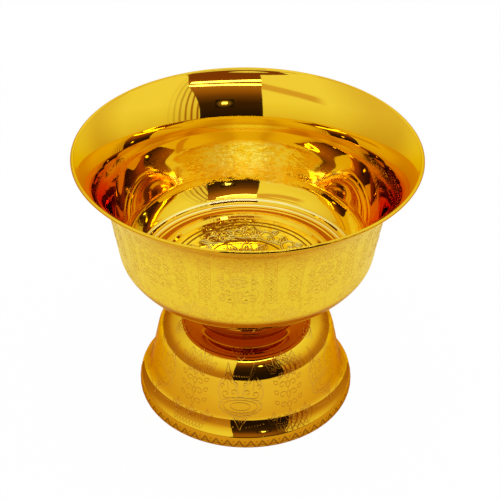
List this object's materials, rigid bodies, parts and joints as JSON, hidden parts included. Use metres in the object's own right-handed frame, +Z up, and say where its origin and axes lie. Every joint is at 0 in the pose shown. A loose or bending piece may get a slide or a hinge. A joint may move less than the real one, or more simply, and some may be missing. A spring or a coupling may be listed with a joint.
{
  "type": "footed offering bowl",
  "caption": "Gold-tone footed offering bowl: deep round bowl with a flared lip on a short neck and a bell-shaped hollow foot.",
  "frame": {"origin": "centre of the foot's underside, on the surface that the bowl stands on", "axes": "+Z up along the axis of the bowl and the foot; the form is turned about Z, and the chased ornament's widest motif faces -Y"},
  "size_m": [0.22, 0.22, 0.185],
  "materials": {
    "gold_tone": "mirror-polished gold-tone plating",
    "raw_brass": "turned, unplated",
    "zinc_steel": "zinc-plated"
  },
  "bodies": {
    "root": {"bowl_shell": "gold_tone", "stud_plate": "raw_brass", "clamp_rod": "zinc_steel", "neck_spool": "gold_tone", "foot_shell": "gold_tone", "clamp_dish": "zinc_steel", "spring_washer": "zinc_steel", "hex_nut": "zinc_steel"}
  },
  "joints": []
}
